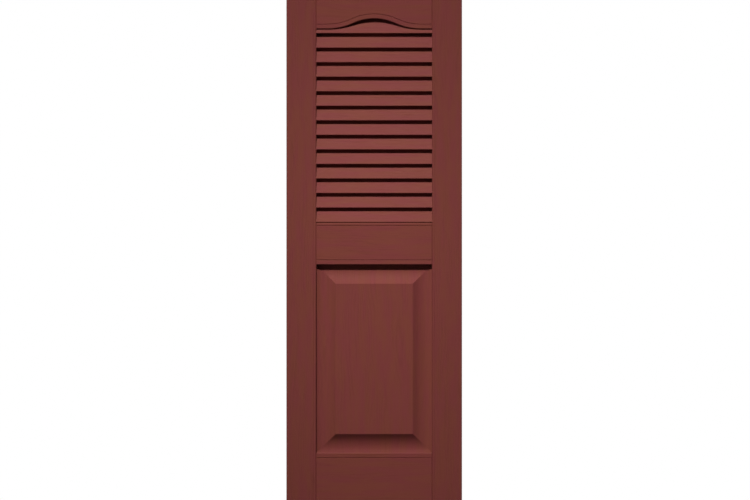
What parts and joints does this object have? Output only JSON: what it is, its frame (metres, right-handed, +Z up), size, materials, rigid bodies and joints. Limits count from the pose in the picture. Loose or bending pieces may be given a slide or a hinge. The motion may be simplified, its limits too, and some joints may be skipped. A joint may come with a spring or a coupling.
{
  "type": "louvred shutter",
  "caption": "Exterior wall shutter moulded in one piece: frame with grooved inner edges, fixed louvre slats under a cathedral arch, raised coved panel below, hollow ribbed back.",
  "frame": {"origin": "middle of the foot, on the wall plane at the back of the shutter", "axes": "+Z up along the stiles, +Y into the wall, the louvred face looks along -Y"},
  "size_m": [0.375, 0.027, 1.092],
  "materials": {
    "moulded_shutter": "satin, embossed wood grain, coloured through"
  },
  "bodies": {
    "root": {"shutter": "moulded_shutter"}
  },
  "joints": []
}
